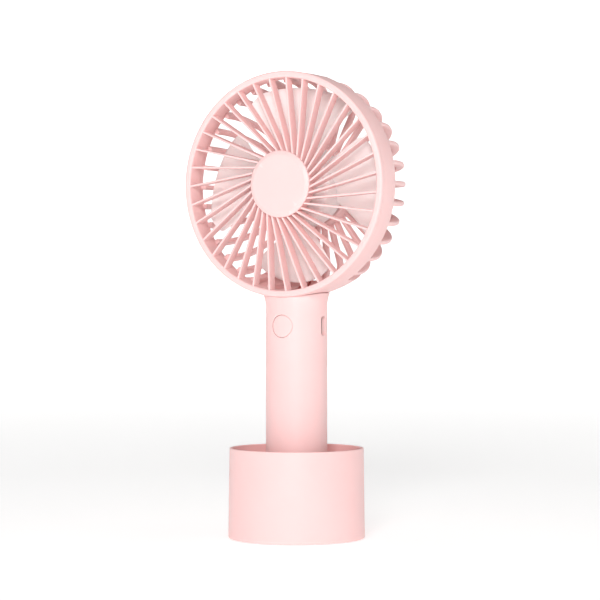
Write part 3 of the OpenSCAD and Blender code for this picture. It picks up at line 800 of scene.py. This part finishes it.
def end_cap():
    """Cap at the handle's foot, with a short rim that plugs into the shells."""
    low, high, top = END_LOW.z, SHELL_Z, END_HIGH.z
    plug, hollow = HANDLE_IN_R - 0.05 * MM, HANDLE_R - 3.2 * MM
    outline = [(0, low), (HANDLE_R, low), (HANDLE_R, high), (plug, high), (plug, top), (hollow, top),
               (hollow, high), (0, high)]
    radii = [0, 1.0 * MM, 0.15 * MM, 0, 0.2 * MM, 0.2 * MM, 0, 0]
    bm = bmesh.new()
    lathe(bm, rounded(outline, radii, 5), segments=144)
    return make_object("handle_foot", bm)


def power_button():
    """Round button whose face follows the handle, with a flange and stem behind it."""
    radius = BUTTON_HOLE_R - BUTTON_GAP
    bm = bmesh.new()
    rings, around = 10, 96
    face_r = HANDLE_R - 0.02 * MM
    flat, curl = radius * 0.93, radius * 0.07
    levels = []
    for k in range(rings + 1):
        levels.append((flat * k / rings, 0.0))
    for step in range(1, 6):
        turn = step / 5 * math.pi / 2
        levels.append((flat + curl * math.sin(turn), curl * (1 - math.cos(turn))))
    turns = [math.tau * k / around for k in range(around)]
    sections = []
    for r, drop in levels:
        ring = []
        for a in turns:
            x, z = r * math.cos(a), r * math.sin(a)
            y = -math.sqrt(face_r ** 2 - x * x) + drop
            ring.append(Vector((x, y, BUTTON_Z + z)))
        sections.append(ring)
    front, stem_end = BUTTON_LOW.y + FLANGE_DEPTH, BUTTON_HIGH.y
    back = front + 1 * MM
    edge = 0.2 * MM
    behind = [(radius, front), (FLANGE_R - edge, front), (FLANGE_R, front + edge),
              (FLANGE_R, back - edge), (FLANGE_R - edge, back), (STEM_R, back),
              (STEM_R, stem_end - edge), (STEM_R - edge, stem_end)]
    for r, y in behind:
        sections.append([Vector((r * math.cos(a), y, BUTTON_Z + r * math.sin(a))) for a in turns])
    skin(bm, sections)
    return make_object("power_button_cap", bm)


def charging_socket():
    """Folded metal shell of the charging socket, with chamfered ends."""
    low, high = SOCKET_LOW, SOCKET_HIGH
    middle_y = (low.y + high.y) / 2
    half_y, half_z = (high.y - low.y) / 2, (high.z - low.z) / 2
    wall = 0.3 * MM

    def outline(shrink):
        y, z = half_y - shrink, half_z - shrink
        return rounded([(-y, -z), (y, -z), (y, z), (-y, z)], y * 0.92, 5)

    bm = bmesh.new()
    x0, x1 = low.x, high.x
    sections = []
    for x, shrink in ((x0, 0.1 * MM), (x0 + 0.15 * MM, 0), (x1 - 0.1 * MM, 0), (x1, 0.08 * MM),
                      (x1, wall), (x1 - 4.4 * MM, wall)):
        sections.append([Vector((x, middle_y + y, BUTTON_Z + z)) for y, z in outline(shrink)])
    skin(bm, sections)
    return make_object("charging_shell", bm)


def socket_tongue():
    """The tongue in the middle of the charging socket that carries its contacts."""
    low, high = SOCKET_LOW, SOCKET_HIGH
    bm = bmesh.new()
    half = (high.z - low.z) / 2 - 1.3 * MM
    thin = 0.32 * MM
    outline = rounded([(-thin, -half), (thin, -half), (thin, half), (-thin, half)], 0.1 * MM, 3)
    sections = []
    for x, grow in ((low.x + 1 * MM, 1.0), (high.x - 0.9 * MM, 1.0), (high.x - 0.7 * MM, 0.8)):
        sections.append([Vector((x, y * grow, BUTTON_Z + z * grow)) for y, z in outline])
    skin(bm, sections)
    return make_object("charging_tongue", bm)


place(handle_front(), "fan", "pink_plastic", PINK, "handle_front_shell")
place(handle_back(), "fan", "pink_plastic", PINK, "handle_rear_shell")
place(end_cap(), "fan", "pink_plastic", PINK, "handle_end_cap")
place(power_button(), "button", "pink_plastic", PINK, "power_button")
place(charging_socket(), "fan", "nickel", NICKEL, "charging_socket")
place(socket_tongue(), "fan", "black_plastic", BLACK)


# ---------------------------------------------------------------- impeller
def blade_outline(v):
    """Middle angle, half angle, radius and thickness of the blade at v, from root 0 to tip 1."""
    root = HUB_R - 1 * MM
    narrow_from, thin_from = 0.8, 0.965
    half = BLADE_SWEEP / 2 * (0.74 + 0.26 * v)
    thick = BLADE_T
    if v > narrow_from:
        half *= math.sqrt(1 - 0.55 * ((v - narrow_from) / (1 - narrow_from)) ** 3)
    if v > thin_from:
        k = (v - thin_from) / (1 - thin_from)
        thick *= math.sqrt(max(0.0, 1 - k * k)) * 0.85 + 0.15
    return math.radians(2 - 6 * v), half, root + v * (BLADE_TIP - root), thick


def blade(bm, turn):
    """One broad blade: a twisted plate with rounded edges, nearer the front at its upper edge."""
    across, along = 26, 24
    sections = []
    for j in range(along + 1):
        v = 1 - (1 - j / along) ** 1.5
        middle, half, radius, thick = blade_outline(v)
        rise = BLADE_RISE * (0.86 + 0.14 * v)
        front, back = [], []
        for i in range(across + 1):
            u = 0.5 - 0.5 * math.cos(math.pi * i / across)
            angle = turn + middle + (0.5 - u) * 2 * half
            bend = 0.9 * MM * (1 - (2 * u - 1) ** 2)
            depth = BLADE_MID - (0.5 - u) * rise + bend
            edge = math.sqrt(max(0.0, 1 - abs(2 * u - 1) ** 14))
            t = thick / 2 * (0.16 + 0.84 * edge)
            front.append(on_axis(radius, depth - t, angle, "fan"))
            back.append(on_axis(radius, depth + t, angle, "fan"))
        sections.append(front + list(reversed(back)))
    skin(bm, sections)


def impeller():
    """Cup-shaped hub over the rotor can, with its blades."""
    bm = bmesh.new()
    outline = [(SHAFT_R, HUB_FRONT + 0.1 * MM), (HUB_R * 0.55, HUB_FRONT), (HUB_R, HUB_FRONT),
               (HUB_R, HUB_BACK), (CAN_R, HUB_BACK), (CAN_R, CAN_FRONT), (SHAFT_R, CAN_FRONT)]
    radii = [0.2 * MM, 4 * MM, 2.2 * MM, 0.5 * MM, 0.3 * MM, 0, 0]
    lathe(bm, rounded(outline, radii, 6), "fan", 144)
    for i in range(BLADE_COUNT):
        blade(bm, math.tau * i / BLADE_COUNT)
    return make_object("impeller_blades", bm)


place(impeller(), "rotor", "blade_plastic", PALE, "impeller")


# ---------------------------------------------------------------- inner parts keep their CAD shape
KEPT = {
    STEEL: ("stand_screws", "handle_screws", "motor_screws", "motor_shaft"),
    NICKEL: ("battery_tabs",),
    IRON: ("stand_weight",),
    WRAP: ("battery_cell",),
    SLEEVE: ("battery_leads", "motor_leads"),
    BOARD: ("circuit_board",),
    BLACK: ("switch_body", "switch_plunger", "motor_base"),
    LAMINATION: ("stator_core", "rotor_can"),
    COPPER: ("stator_coils",),
    BRONZE: ("shaft_bushes", "shaft_clip"),
    MAGNET: ("rotor_magnet",),
}
for material, names in KEPT.items():
    for name in names:
        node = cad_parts[name]
        node.data.materials.clear()
        node.data.materials.append(material)
        edge = node.modifiers.new("edge", "BEVEL")
        edge.width = 0.08 * MM
        edge.segments = 2
        edge.limit_method = "ANGLE"
        edge.angle_limit = math.radians(40)
        edge.use_clamp_overlap = True


# ---------------------------------------------------------------- floor, light and camera
FLOOR_GLOW = 0.42                 # light that the floor gives of its own by the object, and far away
FAR_GLOW = 0.82


def studio():
    """Round pale floor that curves up into a low backdrop all round, far from the object."""
    radius, bend, height = 9.0, 1.2, 1.6
    profile = [(radius - bend, 0.0)]
    steps = 16
    for k in range(1, steps + 1):
        turn = math.pi / 2 * k / steps
        profile.append((radius - bend + bend * math.sin(turn), bend * (1 - math.cos(turn))))
    profile.append((radius, height))
    bm = bmesh.new()
    around = 128
    rings = []
    for r, z in profile:
        angles = [math.tau * k / around for k in range(around)]
        rings.append([bm.verts.new((r * math.cos(a), r * math.sin(a), z)) for a in angles])
    bm.faces.new(rings[0])
    for low, high in zip(rings, rings[1:]):
        for k in range(around):
            n = (k + 1) % around
            bm.faces.new((low[k], low[n], high[n], high[k])).smooth = True
    mesh = bpy.data.meshes.new("floor")
    bm.to_mesh(mesh)
    bm.free()
    piece = bpy.data.objects.new("floor", mesh)
    bpy.context.scene.collection.objects.link(piece)
    n = Nodes("floor_paper")
    n.link(n.mix(n.noise(3, 2), (0.90, 0.895, 0.89), (0.93, 0.925, 0.92)), n.shader.inputs["Base Color"])
    reach = n.add("ShaderNodeVectorMath", operation="LENGTH")
    n.link(n.coords, reach.inputs[0])
    glow = n.ramp(reach.outputs["Value"], 0.4, 1.8, FLOOR_GLOW, FAR_GLOW)
    n.link(glow, n.shader.inputs["Emission Strength"])
    n.set(Roughness=0.9, Emission_Color=(1, 1, 1, 1))
    piece.data.materials.append(n.material)


def area_light(name, place_at, aim, size, power):
    """A white round area light that looks at a point."""
    data = bpy.data.lights.new(name, "AREA")
    data.shape = "DISK"
    data.size = size
    data.energy = power
    lamp = bpy.data.objects.new(name, data)
    bpy.context.scene.collection.objects.link(lamp)
    lamp.location = place_at
    lamp.rotation_euler = (Vector(aim) - Vector(place_at)).to_track_quat("-Z", "Y").to_euler()


def camera():
    """Long lens, almost level, to the right of the fan's front."""
    azimuth = math.radians(29)
    distance = 1.06
    height = 0.1165
    tilt = math.radians(0.42)
    shift_right = 1.55 * MM
    look = Vector((-math.sin(azimuth), math.cos(azimuth), 0))
    right = Vector((math.cos(azimuth), math.sin(azimuth), 0))
    drop = math.tan(tilt) * distance
    aim = right * shift_right + Vector((0, 0, height - drop))
    spot = aim - look * distance
    spot.z = height
    data = bpy.data.cameras.new("camera")
    data.lens = 139.6
    data.sensor_width = 36
    data.clip_start = 0.05
    data.clip_end = 50
    eye = bpy.data.objects.new("camera", data)
    bpy.context.scene.collection.objects.link(eye)
    eye.location = spot
    eye.rotation_euler = (aim - spot).to_track_quat("-Z", "Y").to_euler()
    bpy.context.scene.camera = eye


studio()
middle = (0, 0, 0.6 * AXIS_Z)
area_light("key", (0.66, -1.48, 0.62), middle, size=0.55, power=15.8)
area_light("top", (0.0, 0.1, 1.6), middle, size=1.0, power=5)
world = bpy.data.worlds.new("studio")
bpy.context.scene.world = world
world.use_nodes = True
world.node_tree.nodes["Background"].inputs["Color"].default_value = (1.0, 0.985, 0.98, 1)
world.node_tree.nodes["Background"].inputs["Strength"].default_value = 0.24
bpy.context.scene.view_settings.view_transform = "Standard"
camera()
